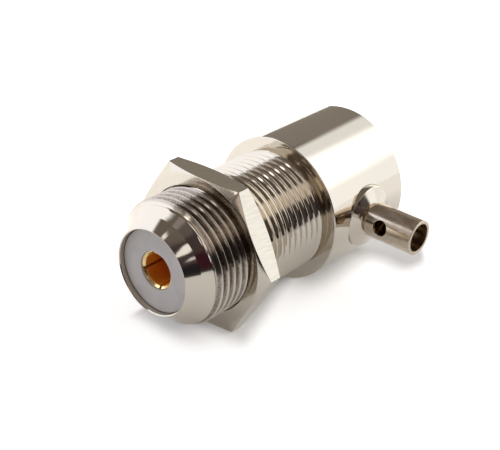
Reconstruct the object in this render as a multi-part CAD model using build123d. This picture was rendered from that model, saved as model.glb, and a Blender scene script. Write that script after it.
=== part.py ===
from build123d import *
from math import cos, pi, radians, tan
import os

# Right-angle bulkhead jack of the UHF pattern, for soldered semi-rigid coaxial cable.
# Millimetres, +Z up. The origin is where the connector's axis meets the mounting shoulder.
# The threaded barrel points along -Y, the round housing along +Y and the cable ferrule along +X.

# Barrel and nose, measured forward from the mounting shoulder
THREAD_MAJOR_D = 15.875
MATING_LENGTH = 22.1
NOSE_BREAK_DROP = 1.4675
NOSE_BREAK_DEPTH = 1.6
THREAD_START_DEPTH = 3.2
RIM_LAND = 0.06
RIM_CHAMFER = 0.1

# Housing, measured out from the thread and back from the mounting shoulder
SHOULDER_WIDTH = 1.5875
HOUSING_LENGTH = 14.55
SHOULDER_EDGE = 0.15
HOUSING_REAR_EDGE = 0.4

# Walls of the bores, from the rim to the back
BARREL_WALL = 1.5875
STEP_WIDTH = 1.08
STEP_DEPTH = 13.5
HOUSING_WALL = 1.5
SHOULDER_WALL = 1.5
CAP_LEDGE = 0.6
CAP_THICKNESS = 1.5
CAP_INSET = 0.15
CAP_EDGE = 0.2

# Insulators and the ring that holds them against the step
INSULATOR_RECESS = 0.7
FLANGE_THICKNESS = 3.0
COLLAR_POCKET_DEPTH = 2.4
RING_BORE_D = 7.0
RING_THICKNESS = 1.6
RING_RECESS = 0.9

# Centre contact
CONTACT_RECESS = 0.85
CONTACT_D = 4.74
CONTACT_EDGE = 0.2
SOCKET_D = 4.0
SOCKET_LENGTH = 11.0
SLOT_COUNT = 4
SLOT_WIDTH = 0.35
SLOT_LENGTH = 9.0
SLOT_FIRST_ANGLE = 15.0
COLLAR_D = 6.2
COLLAR_THICKNESS = 1.5
SHANK_D = 3.2
SHANK_OVERHANG = 1.9
WIRE_SLOT_WIDTH = 1.0

# Cable ferrule, measured forward from the housing's back and out from its round side
ENTRY_FROM_BACK = 7.49
FERRULE_SEAT_D = 8.1
FERRULE_INSET = 2.2
CONE_REACH = 0.67
NECK_D = 3.8
TUBE_STANDOFF = 0.93
TUBE_EDGE = 0.2
TUBE_D = 4.56
TUBE_REACH = 7.65
CABLE_BORE_D = 3.64
CABLE_BORE_LENGTH = 6.2
DIELECTRIC_BORE_D = 3.1
SOLDER_HOLE_D = 2.0
SOLDER_HOLE_FROM_END = 4.44
SOLDER_HOLE_ANGLE = 10.3

# Panel nut, as wide across its flats as the housing
NUT_THICKNESS = 2.8
NUT_FACE_INSET = 0.05
NUT_CHAMFER_ANGLE = 22.0
NUT_BORE_EDGE = 0.1
NUT_STANDOFF = 11.67

# Clearances on the radius
FIT_GAP = 0.03
THREAD_GAP = 0.05

thread_r = THREAD_MAJOR_D / 2
housing_r = thread_r + SHOULDER_WIDTH
stack_r = thread_r - BARREL_WALL
nose_bore_r = stack_r - STEP_WIDTH
chamber_r = housing_r - HOUSING_WALL
cap_seat_r = chamber_r + CAP_LEDGE
rim_y = -MATING_LENGTH
step_y = rim_y + STEP_DEPTH
flange_end_y = step_y + FLANGE_THICKNESS
pocket_y = flange_end_y - COLLAR_POCKET_DEPTH
chamber_y = SHOULDER_WALL
ring_end_y = chamber_y - RING_RECESS
stack_end_y = ring_end_y - RING_THICKNESS
entry_y = HOUSING_LENGTH - ENTRY_FROM_BACK
cap_back_y = HOUSING_LENGTH - CAP_INSET
cap_seat_y = cap_back_y - CAP_THICKNESS
Y_AXIS = Axis((0, 0, 0), (0, 1, 0))


def turned(points, axis=Y_AXIS):
    """Revolve a closed outline of (x, y) points drawn in the XY plane."""
    with BuildPart() as piece:
        with BuildSketch(Plane.XY):
            with BuildLine():
                Polyline(*points, close=True)
            make_face()
        revolve(axis=axis)
    return piece.part


def make_body():
    rim_inner_r = nose_bore_r + RIM_CHAMFER
    shell = turned([
        (rim_inner_r, rim_y),
        (rim_inner_r + RIM_LAND, rim_y),
        (thread_r - NOSE_BREAK_DROP, rim_y + NOSE_BREAK_DEPTH),
        (thread_r, rim_y + THREAD_START_DEPTH),
        (thread_r, 0),
        (housing_r - SHOULDER_EDGE, 0),
        (housing_r, SHOULDER_EDGE),
        (housing_r, HOUSING_LENGTH - HOUSING_REAR_EDGE),
        (housing_r - HOUSING_REAR_EDGE, HOUSING_LENGTH),
        (cap_seat_r, HOUSING_LENGTH),
        (cap_seat_r, cap_seat_y),
        (chamber_r, cap_seat_y),
        (chamber_r, chamber_y),
        (stack_r, chamber_y),
        (stack_r, step_y),
        (nose_bore_r, step_y),
        (nose_bore_r, rim_y + RIM_CHAMFER),
    ])
    side_hole = Pos(housing_r / 2, entry_y, 0) * Rot(0, 90, 0) * Cylinder(
        FERRULE_SEAT_D / 2, housing_r, align=(Align.CENTER, Align.CENTER, Align.MIN)
    )
    return shell - side_hole


def make_front_insulator():
    outer_r = nose_bore_r - FIT_GAP
    flange_r = stack_r - FIT_GAP
    contact_hole_r = CONTACT_D / 2 + FIT_GAP
    pocket_r = COLLAR_D / 2 + FIT_GAP
    return turned([
        (contact_hole_r, rim_y + INSULATOR_RECESS),
        (outer_r, rim_y + INSULATOR_RECESS),
        (outer_r, step_y),
        (flange_r, step_y),
        (flange_r, flange_end_y),
        (pocket_r, flange_end_y),
        (pocket_r, pocket_y),
        (contact_hole_r, pocket_y),
    ])


def make_rear_insulator():
    spigot_r = COLLAR_D / 2
    shank_hole_r = SHANK_D / 2 + FIT_GAP
    outer_r = stack_r - FIT_GAP
    return turned([
        (shank_hole_r, pocket_y + COLLAR_THICKNESS),
        (spigot_r, pocket_y + COLLAR_THICKNESS),
        (spigot_r, flange_end_y),
        (outer_r, flange_end_y),
        (outer_r, stack_end_y),
        (shank_hole_r, stack_end_y),
    ])


def make_retaining_ring():
    outer_r = stack_r - FIT_GAP
    return turned([
        (RING_BORE_D / 2, stack_end_y),
        (outer_r, stack_end_y),
        (outer_r, ring_end_y),
        (RING_BORE_D / 2, ring_end_y),
    ])


def make_centre_contact():
    front_y = rim_y + CONTACT_RECESS
    contact_r = CONTACT_D / 2
    socket_r = SOCKET_D / 2
    shank_r = SHANK_D / 2
    shank_end_y = entry_y + SHANK_OVERHANG
    contact = turned([
        (socket_r, front_y),
        (contact_r - CONTACT_EDGE, front_y),
        (contact_r, front_y + CONTACT_EDGE),
        (contact_r, pocket_y),
        (COLLAR_D / 2, pocket_y),
        (COLLAR_D / 2, pocket_y + COLLAR_THICKNESS),
        (shank_r, pocket_y + COLLAR_THICKNESS),
        (shank_r, shank_end_y),
        (0, shank_end_y),
        (0, front_y + SOCKET_LENGTH),
        (socket_r, front_y + SOCKET_LENGTH),
    ])
    slot = Box(CONTACT_D, SLOT_LENGTH, SLOT_WIDTH, align=(Align.MIN, Align.MIN, Align.CENTER))
    for index in range(SLOT_COUNT):
        angle = SLOT_FIRST_ANGLE + 360 * index / SLOT_COUNT
        contact -= Rot(0, -angle, 0) * Pos(0, front_y, 0) * slot
    wire_slot = Pos(0, entry_y - WIRE_SLOT_WIDTH / 2, 0) * Box(
        SHANK_D * 2, SHANK_OVERHANG * 2, WIRE_SLOT_WIDTH,
        align=(Align.CENTER, Align.MIN, Align.CENTER),
    )
    return contact - wire_slot


def make_cable_ferrule():
    seat_r = FERRULE_SEAT_D / 2 - FIT_GAP
    neck_r = NECK_D / 2
    tube_r = TUBE_D / 2
    cable_r = CABLE_BORE_D / 2
    dielectric_r = DIELECTRIC_BORE_D / 2
    inner_x = housing_r - FERRULE_INSET
    tube_start_x = housing_r + TUBE_STANDOFF
    tube_end_x = housing_r + TUBE_REACH
    bore_end_x = tube_end_x - CABLE_BORE_LENGTH
    outline = [
        (inner_x, dielectric_r),
        (inner_x, seat_r),
        (housing_r, seat_r),
        (housing_r + CONE_REACH, neck_r),
        (tube_start_x, neck_r),
        (tube_start_x, tube_r - TUBE_EDGE),
        (tube_start_x + TUBE_EDGE, tube_r),
        (tube_end_x, tube_r),
        (tube_end_x, cable_r),
        (bore_end_x, cable_r),
        (bore_end_x, dielectric_r),
    ]
    ferrule = turned(
        [(x, entry_y + r) for x, r in outline],
        Axis((0, entry_y, 0), (1, 0, 0)),
    )
    hole_x = tube_end_x - SOLDER_HOLE_FROM_END
    solder_hole = Pos(hole_x, entry_y, 0) * Rot(90 - SOLDER_HOLE_ANGLE, 0, 0) * Cylinder(
        SOLDER_HOLE_D / 2, TUBE_D, align=(Align.CENTER, Align.CENTER, Align.MIN)
    )
    return ferrule - solder_hole


def make_rear_cap():
    cap_r = cap_seat_r - FIT_GAP
    return turned([
        (0, cap_seat_y),
        (cap_r, cap_seat_y),
        (cap_r, cap_back_y - CAP_EDGE),
        (cap_r - CAP_EDGE, cap_back_y),
        (0, cap_back_y),
    ])


def make_panel_nut():
    rear_y = -NUT_STANDOFF
    front_y = rear_y - NUT_THICKNESS
    half_flats = housing_r
    corner_r = half_flats / cos(pi / 6)
    face_r = half_flats - NUT_FACE_INSET
    corner_drop = (corner_r - face_r) * tan(radians(NUT_CHAMFER_ANGLE))
    bore_r = thread_r + THREAD_GAP
    front_plane = Plane(origin=(0, front_y, 0), x_dir=(1, 0, 0), z_dir=(0, 1, 0))
    hexagon = extrude(front_plane * RegularPolygon(half_flats, 6, major_radius=False), NUT_THICKNESS)
    ring = turned([
        (bore_r + NUT_BORE_EDGE, front_y),
        (face_r, front_y),
        (corner_r, front_y + corner_drop),
        (corner_r, rear_y - corner_drop),
        (face_r, rear_y),
        (bore_r + NUT_BORE_EDGE, rear_y),
        (bore_r, rear_y - NUT_BORE_EDGE),
        (bore_r, front_y + NUT_BORE_EDGE),
    ])
    return hexagon & ring


PIECES = {
    "body": make_body(),
    "front_insulator": make_front_insulator(),
    "rear_insulator": make_rear_insulator(),
    "retaining_ring": make_retaining_ring(),
    "centre_contact": make_centre_contact(),
    "cable_ferrule": make_cable_ferrule(),
    "rear_cap": make_rear_cap(),
    "panel_nut": make_panel_nut(),
}

os.makedirs("parts", exist_ok=True)
for name, shape in PIECES.items():
    shape.label = name
    export_step(shape, f"parts/{name}.step")
    box = shape.bounding_box()
    print(name, len(shape.solids()), round(shape.volume, 2), box.min, box.max)
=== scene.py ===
import bpy
from math import atan2, cos, degrees, hypot, pi, radians, sin, tan
from mathutils import Matrix, Vector


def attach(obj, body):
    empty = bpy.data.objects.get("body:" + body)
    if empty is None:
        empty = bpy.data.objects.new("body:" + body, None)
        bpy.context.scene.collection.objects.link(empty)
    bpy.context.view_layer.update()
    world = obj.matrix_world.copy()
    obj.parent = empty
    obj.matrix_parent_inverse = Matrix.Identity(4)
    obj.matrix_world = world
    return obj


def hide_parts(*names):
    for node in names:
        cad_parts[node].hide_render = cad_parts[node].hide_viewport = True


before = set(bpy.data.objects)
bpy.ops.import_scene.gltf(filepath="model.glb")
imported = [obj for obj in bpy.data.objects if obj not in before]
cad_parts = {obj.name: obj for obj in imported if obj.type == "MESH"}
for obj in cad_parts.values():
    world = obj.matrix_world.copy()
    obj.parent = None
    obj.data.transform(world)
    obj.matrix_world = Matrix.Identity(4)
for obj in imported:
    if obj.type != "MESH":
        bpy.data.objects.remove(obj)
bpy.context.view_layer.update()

# Sizes are in millimetres, as in the part's source, and MM turns them into the scene's metres.
# The masks in the materials and the floor are in metres, as their coordinates are.
# The barrel's axis is Y with the shoulder at 0, and the ferrule's axis runs along X.
MM = 0.001

THREAD_R = 7.9375
THREAD_ROOT_R = 7.31
THREAD_PITCH = 25.4 / 24
THREAD_TURNS = 22
THREAD_PHASE = -18.86
THREAD_START_Y = -18.9
THREAD_MERGE_Y = -20.0

NOSE_BREAK_R = 6.47
NOSE_BREAK_Y = -20.5
NOSE_BORE_R = 5.27
RIM_Y = -22.1
RIM_R = 5.43
RIM_INNER_R = 5.37

STACK_R = 6.35
STEP_Y = -8.6
CHAMBER_R = 8.025
CHAMBER_Y = 1.5
HOUSING_R = 9.525
HOUSING_END_Y = 14.55
FLOOR_Z = -HOUSING_R

CAP_R = 8.595
CAP_SEAT_R = 8.625
CAP_SEAT_Y = 12.9
CAP_BACK_Y = 14.4

NUT_FRONT_Y = -14.47
NUT_REAR_Y = -11.67
NUT_HALF_FLATS = 9.525
NUT_CHAMFER_ANGLE = 22.0
NUT_CLEARANCE = 0.05

SLEEVE_FRONT_Y = -21.4
SLEEVE_REAR_Y = -5.6
SLEEVE_BORE_R = 2.4
SLEEVE_CLEARANCE = 0.03

CONTACT_FRONT_Y = -21.25
CONTACT_R = 2.37
SOCKET_R = 2.0
SOCKET_DEPTH = 11.0
SPRING_SLOT_WIDTH = 0.35
SPRING_SLOT_DEPTH = 9.0
SPRING_SLOT_ANGLE = 15.0
COLLAR_R = 3.1
COLLAR_FRONT_Y = -8.0
COLLAR_REAR_Y = -6.5
SHANK_R = 1.6
SHANK_END_Y = 8.96
SOLDER_SLOT_WIDTH = 1.0

ENTRY_Y = 7.06
ENTRY_HOLE_R = 4.05
FERRULE_SEAT_R = 4.02
FERRULE_SEAT_X = 7.325
FERRULE_INNER_R = 1.55
FERRULE_NECK_R = 1.9
FERRULE_END_X = HOUSING_R + 7.65
CONE_END_X = HOUSING_R + 0.67
TUBE_START_X = HOUSING_R + 0.93
TUBE_R = 2.28
CABLE_R = 1.82
CABLE_DEPTH = 6.2
SOLDER_HOLE_R = 1.0
SOLDER_HOLE_X = FERRULE_END_X - 4.44
SOLDER_HOLE_ANGLE = 10.3

# How many flat steps make up a full turn, and the distance at which two vertices are one.
BODY_STEPS = 144
NUT_STEPS = 180
FERRULE_STEPS = 120
INNER_STEPS = 96
DRILL_STEPS = 72
SAME_POINT = 2e-7
SAME_SEAM = 1e-6

# The camera as a fit to the photograph gave it: angles in degrees, place and lens in millimetres.
CAMERA_AZIMUTH = 39.388
CAMERA_ELEVATION = 29.364
CAMERA_ROLL = 3.236
CAMERA_PLACE = (78.874, -100.931, 69.476)
CAMERA_LENS = 82.467
CAMERA_SENSOR = 36.0

# The studio's cards, each laid over the ones before it. A card has its left and right azimuth, its
# low and high height and its softness sideways and up, all in degrees, and then its light.
# Azimuth 0 is in front of the mating face and 90 is on the ferrule's side.
ROOM_LIGHT = (0.18, 0.15, 0.125)
CARDS = [
    ((-170, -118, -25, 38, 6, 3), (0.30, 0.27, 0.235)),
    ((-125, -34.5, -25, 47, 4, 6), (1.42, 1.44, 1.54)),
    ((123, 200, -25, 60, 8, 8), (1.12, 1.13, 1.13)),
    ((123, 181, -25, 60, 8, 8), (1.38, 1.40, 1.42)),
    ((123, 176, 21, 72, 10, 10), (1.9, 1.95, 2.0)),
    ((152, 192, 2, 26, 6, 6), (2.1, 2.05, 1.98)),
    ((72, 123, -25, 40, 8, 8), (0.10, 0.085, 0.075)),
    ((76, 123, 33, 57, 8, 8), (1.20, 1.08, 0.94)),
    ((-34, -23, -25, 28, 4, 4), (0.58, 0.54, 0.51)),
    ((-22, -6, 5, 30, 5, 5), (0.36, 0.32, 0.30)),
    ((-18, -12, 21, 28.5, 3, 3), (2.3, 2.1, 2.0)),
    ((-26, -9, 49, 56, 5, 5), (0.32, 0.28, 0.27)),
    ((-4, 22, 30, 58, 8, 8), (0.15, 0.12, 0.115)),
    ((18, 76, -25, 54, 8, 8), (0.07, 0.05, 0.05)),
    ((24, 76, -25, 14, 8, 8), (0.03, 0.02, 0.02)),
    ((38, 50, -25, 24, 8, 8), (0.045, 0.012, 0.018)),
    ((52, 76, -25, 16, 3, 3), (0.02, 0.018, 0.022)),
    ((39, 51.5, 35, 49, 2, 2), (1.25, 1.22, 1.18)),
    ((53.5, 58, 22.5, 27, 2, 2), (0.9, 0.86, 0.84)),
    ((-30, -13, 58.5, 61.5, 3, 1.5), (1.25, 1.22, 1.22)),
    ((-5, 22, 1, 28, 5, 5), (0.66, 0.57, 0.50)),
]


def set_up_camera():
    """Adds the camera where the photograph was taken from."""
    azimuth, elevation = radians(CAMERA_AZIMUTH), radians(CAMERA_ELEVATION)
    roll = radians(CAMERA_ROLL)
    level = Vector((cos(azimuth), sin(azimuth), 0.0))
    back = Vector((sin(azimuth) * cos(elevation), -cos(azimuth) * cos(elevation), sin(elevation)))
    upright = back.cross(level)
    right = cos(roll) * level + sin(roll) * upright
    up = cos(roll) * upright - sin(roll) * level
    bpy.ops.object.camera_add()
    camera = bpy.context.object
    camera.data.sensor_width = CAMERA_SENSOR
    camera.data.lens = CAMERA_LENS
    camera.data.clip_start = 0.005
    camera.data.clip_end = 10.0
    turn = Matrix((right, up, back)).transposed().to_4x4()
    camera.matrix_world = Matrix.Translation(Vector(CAMERA_PLACE) * MM) @ turn
    bpy.context.scene.camera = camera


# Ways of modelling that several pieces share.

def start_fresh(piece=None):
    """Leaves edit mode, deselects everything and takes up one piece."""
    if bpy.context.object and bpy.context.object.mode != "OBJECT":
        bpy.ops.object.mode_set(mode="OBJECT")
    bpy.ops.object.select_all(action="DESELECT")
    if piece:
        bpy.context.view_layer.objects.active = piece
        piece.select_set(True)


def rounded(corners, closed):
    """Rounds off the (a, b, radius) corners of an outline of (a, b) corners."""
    points = []
    last = len(corners) - 1
    for index, corner in enumerate(corners):
        here = Vector(corner[:2])
        radius = corner[2] if len(corner) > 2 else 0.0
        if radius == 0.0 or (not closed and index in (0, last)):
            points.append(here)
            continue
        towards = []
        for other in (index - 1, index + 1):
            neighbour = Vector(corners[other % len(corners)][:2])
            towards.append((neighbour - here).normalized())
        half = towards[0].angle(towards[1]) / 2
        reach = radius / tan(half)
        centre = here + (towards[0] + towards[1]).normalized() * radius / sin(half)
        arms = [here + way * reach - centre for way in towards]
        sweep = arms[0].angle_signed(arms[1])
        bits = max(2, round(abs(degrees(sweep)) / 18))
        for bit in range(bits + 1):
            points.append(centre + Matrix.Rotation(-sweep * bit / bits, 2) @ arms[0])
    return points


def draw_outline(name, points, closed):
    """Draws an outline: one vertex, and each next one extruded from the last."""
    start_fresh()
    bpy.ops.mesh.primitive_plane_add(size=MM)
    piece = bpy.context.object
    piece.name = name
    bpy.ops.object.mode_set(mode="EDIT")
    bpy.ops.mesh.select_all(action="SELECT")
    bpy.ops.mesh.merge(type="CENTER")
    bpy.ops.transform.translate(value=Vector(points[0]) * MM)
    chain = points[1:] + points[:1] if closed else points[1:]
    last = points[0]
    for point in chain:
        step = (Vector(point) - Vector(last)) * MM
        bpy.ops.mesh.extrude_region_move(TRANSFORM_OT_translate={"value": step})
        last = point
    return piece


def turned(name, corners, along="Y", closed=True, steps=BODY_STEPS):
    """Turns an outline of (radius, place) corners round the barrel's axis, or the ferrule's."""
    points = rounded(corners, closed)
    if along == "Y":
        drawn = [(0.0, place, radius) for radius, place in points]
        centre, axis = (0.0, 0.0, 0.0), (0.0, 1.0, 0.0)
    else:
        drawn = [(place, ENTRY_Y, radius) for radius, place in points]
        centre, axis = (0.0, ENTRY_Y * MM, 0.0), (1.0, 0.0, 0.0)
    piece = draw_outline(name, drawn, closed)
    bpy.ops.mesh.select_all(action="SELECT")
    bpy.ops.mesh.spin(steps=steps, angle=2 * pi, center=centre, axis=axis)
    bpy.ops.mesh.select_all(action="SELECT")
    bpy.ops.mesh.remove_doubles(threshold=SAME_POINT)
    bpy.ops.mesh.normals_make_consistent(inside=False)
    bpy.ops.object.mode_set(mode="OBJECT")
    return piece


def apply_modifier(piece, kind, **settings):
    """Puts one modifier on a piece and applies it."""
    start_fresh(piece)
    modifier = piece.modifiers.new(kind.lower(), kind)
    for key, value in settings.items():
        setattr(modifier, key, value)
    bpy.ops.object.modifier_apply(modifier=modifier.name)


def cut(piece, tool, operation="DIFFERENCE"):
    """Cuts a piece with a tool and throws the tool away."""
    apply_modifier(piece, "BOOLEAN", object=tool, operation=operation, solver="EXACT")
    bpy.data.objects.remove(tool)


def milling_bar(low, high, turn=Matrix()):
    """A bar between two corners, for milling a slot."""
    start_fresh()
    size, middle = Vector(high) - Vector(low), (Vector(high) + Vector(low)) / 2
    bpy.ops.mesh.primitive_cube_add(size=MM, location=middle * MM, scale=size)
    bpy.ops.object.transform_apply(location=True, rotation=True, scale=True)
    bar = bpy.context.object
    bar.data.transform(turn)
    return bar


def drill(radius, start, direction, length, sides=DRILL_STEPS):
    """A drill that enters at a point and goes in one direction."""
    start_fresh()
    way = Vector(direction).normalized()
    turn = way.to_track_quat("Z", "Y").to_matrix().to_4x4()
    bpy.ops.mesh.primitive_cylinder_add(vertices=sides, radius=radius * MM, depth=length * MM)
    bit = bpy.context.object
    bit.data.transform(Matrix.Translation((Vector(start) + way * length / 2) * MM) @ turn)
    return bit


def soften_edges(piece, width, angle):
    """Rounds the edges that turn by more than an angle."""
    apply_modifier(
        piece, "BEVEL", width=width * MM, segments=2, limit_method="ANGLE",
        angle_limit=radians(angle),
    )


def shade(piece, angle=32.0):
    """Shades a piece smooth over its gentle angles, with its flat faces kept flat."""
    start_fresh(piece)
    bpy.ops.object.shade_smooth_by_angle(angle=radians(angle))
    apply_modifier(piece, "WEIGHTED_NORMAL", mode="FACE_AREA", weight=50, keep_sharp=True)


def true_up_normals(piece, radius, along="Y"):
    """Gives the faces that lie on a turned outside the normals of a true cylinder."""
    mesh = piece.data
    normals = [Vector(corner.vector) for corner in mesh.corner_normals]
    for face in mesh.polygons:
        arms = []
        for index in face.vertices:
            x, y, z = mesh.vertices[index].co / MM
            arms.append(Vector((x, 0, z)) if along == "Y" else Vector((0, y - ENTRY_Y, z)))
        if all(abs(arm.length - radius) < 0.002 for arm in arms):
            for loop, arm in zip(face.loop_indices, arms):
                normals[loop] = arm.normalized()
    mesh.normals_split_custom_set(normals)


# The body: coned nose, threaded barrel, shoulder and housing, turned from one bar.

def thread_section():
    """One pitch of the thread: narrow crest, flanks at 60 degrees to each other, rounded root."""
    turns = [radians(turn) for turn in (0, 15, 30, 45, 60)]
    crest_flat, crest_r, root_r = 0.018, 0.045, 0.19
    middle, depth = THREAD_PITCH / 2, THREAD_R - THREAD_ROOT_R
    half = [(0.0, 0.0)]
    half += [(crest_flat + crest_r * sin(turn), crest_r * (1 - cos(turn))) for turn in turns[::2]]
    roots = []
    for turn in reversed(turns):
        roots.append((middle - root_r * sin(turn), depth - root_r * (1 - cos(turn))))
    (near, near_drop), (far, far_drop) = half[-1], roots[0]
    for share in (0.33, 0.67):
        half.append((near + (far - near) * share, near_drop + (far_drop - near_drop) * share))
    half += roots
    section = half + [(THREAD_PITCH - place, drop) for place, drop in reversed(half[:-1])]
    return [(place, THREAD_R - drop) for place, drop in section]


def thread_radius(angle, y):
    """The thread's radius at an angle from the top and a place along the barrel."""
    place = (y - THREAD_PHASE - THREAD_PITCH * angle / (2 * pi)) % THREAD_PITCH
    section = thread_section()
    for (near, near_r), (far, far_r) in zip(section, section[1:]):
        if place <= far:
            return near_r + (far_r - near_r) * (place - near) / (far - near)
    return THREAD_R


def nose_radius(y):
    """The cone's radius between the nose's break and the full thread."""
    slope = (THREAD_R - NOSE_BREAK_R) / (THREAD_START_Y - NOSE_BREAK_Y)
    return NOSE_BREAK_R + (y - NOSE_BREAK_Y) * slope


def set_radius(vertex, angle, radius, y):
    """Moves a vertex to a radius and a place along the barrel."""
    vertex.co = Vector((radius * sin(angle), y, radius * cos(angle))) * MM


def make_barrel():
    """The thread: a section screwed along the barrel, turned down to the cone and the shoulder."""
    first_y = THREAD_PHASE - 3 * THREAD_PITCH
    points = [(0.0, first_y + place, radius) for place, radius in thread_section()]
    barrel = draw_outline("body_shell", points, False)
    bpy.ops.object.mode_set(mode="OBJECT")
    apply_modifier(
        barrel, "SCREW", axis="Y", angle=2 * pi, screw_offset=THREAD_PITCH * MM,
        iterations=THREAD_TURNS, steps=BODY_STEPS, render_steps=BODY_STEPS,
    )
    for vertex in barrel.data.vertices:
        x, y, z = vertex.co / MM
        angle = atan2(x, z)
        if y > 0.0:
            set_radius(vertex, angle, thread_radius(angle, 0.0), 0.0)
        elif y < THREAD_MERGE_Y:
            set_radius(vertex, angle, nose_radius(THREAD_MERGE_Y), THREAD_MERGE_Y)
        elif y < THREAD_START_Y:
            set_radius(vertex, angle, min(hypot(x, z), nose_radius(y)), y)
    return barrel


def make_body():
    """The body in one piece, with the side hole for the ferrule."""
    rest = turned("body_rest", [
        (THREAD_R - 0.3, 0.0),
        (HOUSING_R, 0.0, 0.13),
        (HOUSING_R, HOUSING_END_Y, 0.35),
        (CAP_SEAT_R, HOUSING_END_Y, 0.05),
        (CAP_SEAT_R, CAP_SEAT_Y),
        (CHAMBER_R, CAP_SEAT_Y),
        (CHAMBER_R, CHAMBER_Y),
        (STACK_R, CHAMBER_Y),
        (STACK_R, STEP_Y),
        (NOSE_BORE_R, STEP_Y),
        (NOSE_BORE_R, RIM_Y + 0.1),
        (RIM_INNER_R, RIM_Y, 0.02),
        (RIM_R, RIM_Y, 0.02),
        (NOSE_BREAK_R, NOSE_BREAK_Y, 0.25),
        (nose_radius(THREAD_MERGE_Y), THREAD_MERGE_Y),
    ], closed=False)
    for vertex in rest.data.vertices:
        x, y, z = vertex.co / MM
        if abs(y) < 1e-4 and hypot(x, z) < THREAD_R - 0.2:
            angle = atan2(x, z)
            set_radius(vertex, angle, thread_radius(angle, 0.0), 0.0)
    barrel = make_barrel()
    start_fresh(barrel)
    rest.select_set(True)
    bpy.ops.object.join()
    bpy.ops.object.mode_set(mode="EDIT")
    bpy.ops.mesh.select_all(action="SELECT")
    bpy.ops.mesh.remove_doubles(threshold=SAME_SEAM)
    bpy.ops.mesh.normals_make_consistent(inside=False)
    bpy.ops.object.mode_set(mode="OBJECT")
    cut(barrel, drill(ENTRY_HOLE_R, (HOUSING_R / 2, ENTRY_Y, 0.0), (1, 0, 0), 8.0, INNER_STEPS))
    shade(barrel, 34.0)
    true_up_normals(barrel, HOUSING_R)
    return barrel


# The loose pieces.

def make_nut():
    """The hexagon nut, both of its faces turned down at the corners."""
    start_fresh()
    corner_r = NUT_HALF_FLATS / cos(pi / 6)
    bpy.ops.mesh.primitive_cylinder_add(
        vertices=6, radius=corner_r * MM, depth=(NUT_REAR_Y - NUT_FRONT_Y) * MM,
        location=(0.0, (NUT_FRONT_Y + NUT_REAR_Y) / 2 * MM, 0.0), rotation=(pi / 2, pi / 6, 0.0),
    )
    bpy.ops.object.transform_apply(location=True, rotation=True, scale=True)
    nut = bpy.context.object
    nut.name = "hexagon_nut"
    bore_r, face_r, blank_r = THREAD_R + NUT_CLEARANCE, NUT_HALF_FLATS - 0.05, corner_r + 0.5
    drop = (blank_r - face_r) * tan(radians(NUT_CHAMFER_ANGLE))
    blank = turned("nut_blank", [
        (bore_r, NUT_FRONT_Y + 0.1),
        (bore_r + 0.1, NUT_FRONT_Y),
        (face_r, NUT_FRONT_Y),
        (blank_r, NUT_FRONT_Y + drop),
        (blank_r, NUT_REAR_Y - drop),
        (face_r, NUT_REAR_Y),
        (bore_r + 0.1, NUT_REAR_Y),
        (bore_r, NUT_REAR_Y - 0.1),
    ], steps=NUT_STEPS)
    cut(nut, blank, "INTERSECT")
    soften_edges(nut, 0.045, 14.0)
    shade(nut, 24.0)
    return nut


def make_front_insulator():
    """The insulator that fills the nose."""
    nose_r, stack_r = NOSE_BORE_R - SLEEVE_CLEARANCE, STACK_R - SLEEVE_CLEARANCE
    collar_seat_r = COLLAR_R + SLEEVE_CLEARANCE
    sleeve = turned("nose_insulator", [
        (SLEEVE_BORE_R, SLEEVE_FRONT_Y, 0.08),
        (nose_r, SLEEVE_FRONT_Y, 0.12),
        (nose_r, STEP_Y),
        (stack_r, STEP_Y, 0.05),
        (stack_r, SLEEVE_REAR_Y),
        (collar_seat_r, SLEEVE_REAR_Y),
        (collar_seat_r, COLLAR_FRONT_Y),
        (SLEEVE_BORE_R, COLLAR_FRONT_Y),
    ], steps=INNER_STEPS)
    shade(sleeve)
    return sleeve


def make_contact():
    """The slotted spring contact with its collar, shank and solder slot."""
    front_y = CONTACT_FRONT_Y
    contact = turned("spring_contact", [
        (SOCKET_R, front_y + 0.28),
        (SOCKET_R + 0.27, front_y, 0.03),
        (CONTACT_R, front_y, 0.06),
        (CONTACT_R, COLLAR_FRONT_Y),
        (COLLAR_R, COLLAR_FRONT_Y, 0.05),
        (COLLAR_R, COLLAR_REAR_Y, 0.05),
        (SHANK_R, COLLAR_REAR_Y),
        (SHANK_R, SHANK_END_Y, 0.2),
        (0.0, SHANK_END_Y),
        (0.0, front_y + SOCKET_DEPTH + 0.6),
        (SOCKET_R, front_y + SOCKET_DEPTH),
    ], steps=INNER_STEPS)
    half_slot, slot_end_y = SPRING_SLOT_WIDTH / 2, front_y + SPRING_SLOT_DEPTH
    for quarter in (0, 1):
        turn = Matrix.Rotation(radians(-SPRING_SLOT_ANGLE - 90 * quarter), 4, "Y")
        cut(contact, milling_bar((-4, front_y - 1, -half_slot), (4, slot_end_y, half_slot), turn))
    half_slot = SOLDER_SLOT_WIDTH / 2
    cut(contact, milling_bar((-3, ENTRY_Y - 0.5, -half_slot), (3, SHANK_END_Y + 1.04, half_slot)))
    shade(contact)
    return contact


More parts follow.
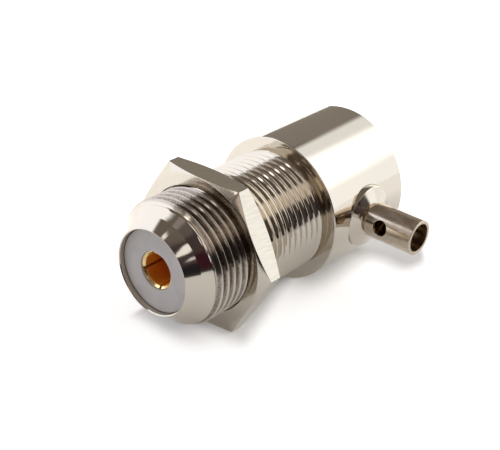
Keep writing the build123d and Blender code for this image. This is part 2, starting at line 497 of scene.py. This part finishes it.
def make_ferrule():
    """The cable ferrule: seat, shallow cone, neck and thin tube, with the solder hole."""
    ferrule = turned("solder_ferrule", [
        (FERRULE_INNER_R, FERRULE_SEAT_X),
        (FERRULE_SEAT_R, FERRULE_SEAT_X),
        (FERRULE_SEAT_R, HOUSING_R, 0.1),
        (FERRULE_NECK_R, CONE_END_X),
        (FERRULE_NECK_R, TUBE_START_X),
        (TUBE_R, TUBE_START_X, 0.1),
        (TUBE_R, FERRULE_END_X, 0.06),
        (CABLE_R, FERRULE_END_X, 0.05),
        (CABLE_R, FERRULE_END_X - CABLE_DEPTH),
        (FERRULE_INNER_R, FERRULE_END_X - CABLE_DEPTH),
    ], along="X", steps=FERRULE_STEPS)
    tilt = radians(SOLDER_HOLE_ANGLE)
    way_in = (0, -cos(tilt), sin(tilt))
    cut(ferrule, drill(SOLDER_HOLE_R, (SOLDER_HOLE_X, ENTRY_Y, 0.0), way_in, 4.0))
    soften_edges(ferrule, 0.03, 50.0)
    shade(ferrule)
    true_up_normals(ferrule, TUBE_R, "X")
    return ferrule


def make_cap():
    """The disc pressed into the back of the housing."""
    cap = turned("pressed_cap", [
        (0.0, CAP_SEAT_Y),
        (CAP_R, CAP_SEAT_Y),
        (CAP_R, CAP_BACK_Y, 0.2),
        (0.0, CAP_BACK_Y),
    ], closed=False)
    shade(cap)
    return cap


# Materials.

class Wire:
    """An output of a material's nodes, which maths can be written with."""

    def __init__(self, tree, socket=None):
        self.tree = tree
        self.socket = socket

    def make(self, kind, settings=None, sockets=None, out=0):
        """Adds a node of any kind with its settings and sockets, and gives back one output."""
        node = self.tree.nodes.new("ShaderNode" + kind)
        for key, value in (settings or {}).items():
            setattr(node, key, value)
        for key, value in (sockets or {}).items():
            socket = node.inputs[key]
            if isinstance(value, Wire):
                self.tree.links.new(value.socket, socket)
            else:
                socket.default_value = (*value, 1.0) if lacks_alpha(socket, value) else value
        return Wire(self.tree, node.outputs[out]) if node.outputs else None

    def maths(self, operation, *others):
        """Adds one Math node."""
        values = dict(enumerate((self, *others)))
        return self.make("Math", {"operation": operation}, values)

    def __add__(self, other):
        return self.maths("ADD", other)

    __radd__ = __add__

    def __mul__(self, other):
        return self.maths("MULTIPLY", other)

    __rmul__ = __mul__

    def __sub__(self, other):
        return self.maths("SUBTRACT", other)

    def __rsub__(self, other):
        return self.make("Math", {"operation": "SUBTRACT"}, {0: other, 1: self})

    def __neg__(self):
        return self * -1.0

    def __abs__(self):
        return self.maths("ABSOLUTE")

    def ease(self, start, end):
        """Goes smoothly from 0 at the start to 1 at the end."""
        sockets = {"Value": self, "From Min": start, "From Max": end}
        return self.make("MapRange", {"interpolation_type": "SMOOTHSTEP"}, sockets)

    def blend(self, first, second):
        """Mixes two colours by this value."""
        settings = {"data_type": "RGBA"}
        return self.make("Mix", settings, {0: self, 6: first, 7: second}, out=2)


def lacks_alpha(socket, value):
    """Whether a socket takes a colour and was given one without its alpha."""
    return socket.type == "RGBA" and hasattr(value, "__len__") and len(value) == 3


def empty_material(name):
    """A material without nodes, and a wire to start from."""
    material = bpy.data.materials.new(name)
    material.use_nodes = True
    material.node_tree.nodes.clear()
    return material, Wire(material.node_tree)


def surface(name):
    """A new material's wire to start from, and a function that ends it in a shader."""
    material, start = empty_material(name)

    def end(sockets):
        shader = start.make("BsdfPrincipled", {}, sockets)
        start.make("OutputMaterial", {}, {"Surface": shader})
        return material

    return start, end


def split(start, place, count=3):
    """The parts of a place or a direction one by one."""
    return [start.make("SeparateXYZ", {}, {0: place}, out=i) for i in range(count)]


def coordinates(start):
    """Object coordinates, in one and part by part."""
    place = start.make("TexCoord", out="Object")
    return place, split(start, place)


def off_axis(a, b):
    """How far a place is from an axis, by its two parts across it."""
    return (a * a + b * b).maths("SQRT")


def stretched(start, place, scale, turn=(0.0, 0.0, 0.0)):
    """A place, turned and then stretched."""
    sizes = tuple(1 / value for value in scale)
    settings = {"vector_type": "TEXTURE"}
    return start.make("Mapping", settings, {"Vector": place, "Rotation": turn, "Scale": sizes})


def noise(start, place, scale, detail, roughness=0.5):
    """Soft noise over a place."""
    sockets = {"Vector": place, "Scale": scale, "Detail": detail, "Roughness": roughness}
    return start.make("TexNoise", {}, sockets)


def tool_rings(start, radius, y, scale):
    """The fine rings that a tool leaves on a turned face."""
    place = start.make("CombineXYZ", {}, {0: radius, 1: y})
    sockets = {"Vector": place, "Scale": scale, "Detail": 2.0}
    return start.make("TexNoise", {"noise_dimensions": "2D"}, sockets)


def bump(start, strength, depth, height):
    """Fine relief, its depth in metres."""
    sockets = {"Strength": strength, "Distance": depth, "Height": height}
    return start.make("Bump", {}, sockets)


def polished_nickel():
    """Bright nickel plate over turned brass, with fine rings, and painted shade, speckled, in the
    front threads.
    """
    start, end = surface("polished_nickel")
    place, (x, y, z) = coordinates(start)
    radius = off_axis(x, z)
    clouds = noise(start, place, 260.0, 4.0)
    warmth = noise(start, place, 90.0, 2.0)
    specks = noise(start, place, 4500.0, 3.0)
    # Painted shade, speckled: the front threads' flanks and roots go dark brown, and on the top
    # side the crests go half as dark.
    threads = y.ease(-0.0192, -0.0189) * y.ease(-0.0138, -0.0143)
    crests = radius.ease(0.00768, 0.00788) * (1.0 - 0.5 * z.ease(-0.001, 0.002))
    speckled_thread_shade = threads * (1.0 - crests) * (0.7 + 0.3 * specks.ease(0.4, 0.6))
    plate = warmth.ease(0.3, 0.7).blend((0.67, 0.615, 0.53), (0.64, 0.595, 0.525))
    return end({
        "Base Color": speckled_thread_shade.blend(plate, (0.22, 0.185, 0.16)),
        "Metallic": 1.0,
        "Roughness": 0.06 + 0.045 * clouds.ease(0.35, 0.75) + 0.08 * speckled_thread_shade,
        "Normal": bump(start, 0.05, 0.00002, tool_rings(start, radius, y, 9000.0)),
    })


def ground_nickel():
    """The nut's nickel plate, over faces that were ground in slanting lines."""
    start, end = surface("ground_nickel")
    place = start.make("TexCoord", out="Object")
    slant = (radians(-6.5), 0.0, radians(-3.7))
    grind = noise(start, stretched(start, place, (6000.0, 450.0, 6000.0), slant), 1.0, 3.0, 0.65)
    clouds = noise(start, place, 300.0, 3.0)
    return end({
        "Base Color": grind.ease(0.35, 0.7).blend((0.67, 0.62, 0.535), (0.60, 0.555, 0.48)),
        "Metallic": 1.0,
        "Roughness": 0.075 + 0.05 * clouds.ease(0.35, 0.7),
        "Normal": bump(start, 0.7, 0.00001, grind),
    })


def soldered_nickel():
    """The ferrule's plate: bright on the cone, dulled by heat on the tube, brown inside."""
    start, end = surface("soldered_nickel")
    place, (x, y, z) = coordinates(start)
    radius = off_axis(y - ENTRY_Y * MM, z)
    tube, inside = x.ease(0.0100, 0.0104), radius.ease(0.00192, 0.00186)
    blotches = noise(start, stretched(start, place, (500.0, 1100.0, 1100.0)), 1.0, 5.0)
    warmth = noise(start, place, 900.0, 3.0)
    dulled = warmth.ease(0.35, 0.65).blend((0.66, 0.59, 0.50), (0.62, 0.51, 0.40))
    outside = tube.blend((0.66, 0.61, 0.53), dulled)
    return end({
        "Base Color": inside.blend(outside, (0.50, 0.38, 0.24)),
        "Metallic": 1.0,
        "Roughness": 0.09 + tube * (0.07 + 0.12 * blotches.ease(0.35, 0.65)) + 0.06 * inside,
        "Normal": bump(start, 0.15, 0.00002, tube * blotches),
    })


def gold_plate():
    """Gold plate on the contact: pale at the mouth and the shank, deep and dull in between, where
    shade is painted.
    """
    start, end = surface("gold_plate")
    place, (x, y, z) = coordinates(start)
    clouds = noise(start, place, 700.0, 3.0)
    # Painted shade: the bore and the socket's length are painted a deep, dull orange that stands
    # in for the dim light bounced round inside the gold.
    socket_shade_span = y.ease(-0.0209, -0.0206) * y.ease(-0.0090, -0.0095)
    shaded = off_axis(x, z).ease(0.00206, 0.00202).maths("MAXIMUM", socket_shade_span)
    pale = clouds.ease(0.35, 0.7).blend((0.98, 0.80, 0.42), (0.92, 0.72, 0.36))
    deep = clouds.ease(0.35, 0.7).blend((0.88, 0.33, 0.03), (0.80, 0.29, 0.025))
    return end({
        "Base Color": shaded.blend(pale, deep),
        "Metallic": 1.0 - 0.85 * shaded,
        "Roughness": 0.16 + 0.08 * clouds + 0.35 * shaded,
        "Normal": bump(start, 0.1, 0.00003, clouds),
    })


def white_insulator():
    """The insulators' white plastic with faint tool rings, and painted shade with a gold cast in
    its bore.
    """
    start, end = surface("white_insulator")
    place, (x, y, z) = coordinates(start)
    radius = off_axis(x, z)
    rings = tool_rings(start, radius, y, 5000.0)
    clouds = noise(start, place, 500.0, 4.0)
    plastic = clouds.ease(0.3, 0.7).blend((0.60, 0.585, 0.58), (0.66, 0.645, 0.64))
    # Painted shade with a gold colour cast: the bore, which the contact's slots show, is painted
    # dark orange-brown.
    bore = radius.ease(0.00256, 0.00246) * y.ease(-0.0213, -0.0209)
    return end({
        "Base Color": bore.blend(plastic, (0.42, 0.20, 0.06)),
        "Roughness": 0.42 + 0.1 * clouds,
        "Normal": bump(start, 0.12, 0.00003, rings + clouds),
        "Subsurface Weight": 0.15,
        "Subsurface Scale": 0.0006,
        "IOR": 1.35,
    })


def turned_brass():
    """Bare brass of the ring inside, as it came off the lathe."""
    start, end = surface("turned_brass")
    clouds = noise(start, start.make("TexCoord", out="Object"), 600.0, 4.0)
    return end({
        "Base Color": clouds.ease(0.3, 0.7).blend((0.73, 0.52, 0.22), (0.62, 0.43, 0.18)),
        "Metallic": 1.0,
        "Roughness": 0.25 + 0.15 * clouds,
        "Normal": bump(start, 0.2, 0.00003, clouds),
    })


# Floor and light.

def floor_shade(x, y):
    """The soft shade painted on the floor close to the object, by the pieces that cast it."""
    by_nose = 0.46 * x.ease(0.006, -0.002) * x.ease(-0.0063, -0.0052)
    by_nose = by_nose * y.ease(-0.0212, -0.0178) * y.ease(-0.0130, -0.0155)
    by_nut = 0.46 * (x + 0.4 * y).ease(0.0040, 0.0010) * y.ease(-0.0168, -0.0130)
    by_housing = 0.46 * x.ease(0.0090, 0.0040) * y.ease(-0.0035, 0.0040) * y.ease(0.016, 0.011)
    by_ferrule = 0.70 * x.ease(0.0145, 0.0110) * y.ease(0.0105, 0.0160)
    by_ferrule = by_ferrule * y.ease(0.0235, 0.0210) * (x + y).ease(0.0315, 0.0290)
    return by_nose + (by_nut + by_housing + by_ferrule) * x.ease(-0.012, -0.006)


def past_the_paper(x, y):
    """Where the metal sees a dark table past the paper's edges."""
    near = y.ease(-0.042, -0.048) * (-0.67 * y - x).ease(-0.005, 0.005)
    dark = (near + y.ease(-0.10, -0.13)) * (x - 0.35 * y).ease(-0.02, 0.0)
    return dark + x.ease(0.10, 0.13) * (0.6 * x - y).ease(-0.01, 0.01)


def lay_floor():
    """A plain pale floor that keeps the shadow and reaches white away from it, with painted shade
    near the object and painted light where the metal sees it.
    """
    start_fresh()
    bpy.ops.mesh.primitive_plane_add(size=4.0, location=(0.0, 0.0, FLOOR_Z * MM))
    floor_piece = bpy.context.object
    floor_piece.name = "paper_floor"
    material, start = empty_material("white_paper")
    camera = start.make("LightPath", out="Is Camera Ray")
    mirror = start.make("LightPath", out="Is Glossy Ray")
    mirror = mirror + start.make("LightPath", out="Is Transmission Ray")
    x, y = split(start, start.make("TexCoord", out="Object"), 2)
    # Painted light: the floor that the metal sees is brighter to the left and behind, as if lit
    # there, and dimmer in front and to the right.
    left, behind = x.ease(0.005, -0.03), y.ease(0.008, 0.050)
    painted_light_seen_by_metal = 0.12 + 0.6 * left + 0.45 * behind * (1.0 - left)
    strength = camera * (0.62 - floor_shade(x, y)) + mirror * painted_light_seen_by_metal
    glow = start.make("Emission", {}, {
        "Color": strength.blend((0.0, 0.0, 0.0), (1.0, 1.0, 1.0)), "Strength": 1.0,
    })
    paper = start.make("BsdfDiffuse", {}, {"Color": (0.95, 0.95, 0.95)})
    paper = start.make("AddShader", {}, {0: paper, 1: glow})
    table = start.make("BsdfDiffuse", {}, {"Color": (0.05, 0.04, 0.04)})
    both = start.make("MixShader", {}, {0: mirror * past_the_paper(x, y), 1: paper, 2: table})
    start.make("OutputMaterial", {}, {"Surface": both})
    floor_piece.data.materials.append(material)


def light_studio():
    """Soft studio light: pale cards all round with the dark gaps between them."""
    world = bpy.data.worlds.new("studio")
    world.use_nodes = True
    world.node_tree.nodes.clear()
    bpy.context.scene.world = world
    bpy.context.scene.view_settings.view_transform = "Standard"
    start = Wire(world.node_tree)
    x, y, z = split(start, start.make("TexCoord", out="Generated"))
    azimuth = x.maths("ARCTAN2", -y) * (180 / pi)
    height = z.maths("ARCSINE") * (180 / pi)
    light = ROOM_LIGHT
    for (left, right, low, high, soft, soft_up), colour in CARDS:
        middle, half = (left + right) / 2, (right - left) / 2
        sideways = abs((azimuth - middle).maths("WRAP", 180.0, -180.0))
        across = sideways.ease(half + soft / 2, half - soft / 2)
        bottom = height.ease(low - soft_up / 2, low + soft_up / 2)
        top = height.ease(high + soft_up / 2, high - soft_up / 2)
        light = (across * bottom * top).blend(light, colour)
    back = start.make("Background", {}, {"Color": light, "Strength": 1.0})
    start.make("OutputWorld", {}, {"Surface": back})


# The whole scene.

def dress(piece, material, node, body):
    """Gives a piece its material and the body it moves with, and hides the CAD part it stands for.
    """
    piece.data.materials.clear()
    piece.data.materials.append(material)
    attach(piece, body)
    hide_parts(node)


def main():
    """Builds the scene."""
    set_up_camera()
    lay_floor()
    light_studio()
    nickel, ground, soldered = polished_nickel(), ground_nickel(), soldered_nickel()
    gold, insulator, brass = gold_plate(), white_insulator(), turned_brass()
    dress(make_body(), nickel, "body", "jack")
    dress(make_front_insulator(), insulator, "front_insulator", "jack")
    dress(make_contact(), gold, "centre_contact", "jack")
    dress(make_ferrule(), soldered, "cable_ferrule", "jack")
    dress(make_cap(), nickel, "rear_cap", "jack")
    dress(make_nut(), ground, "panel_nut", "nut")
    for node, material in (("rear_insulator", insulator), ("retaining_ring", brass)):
        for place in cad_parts[node].material_slots:
            place.material = material


main()
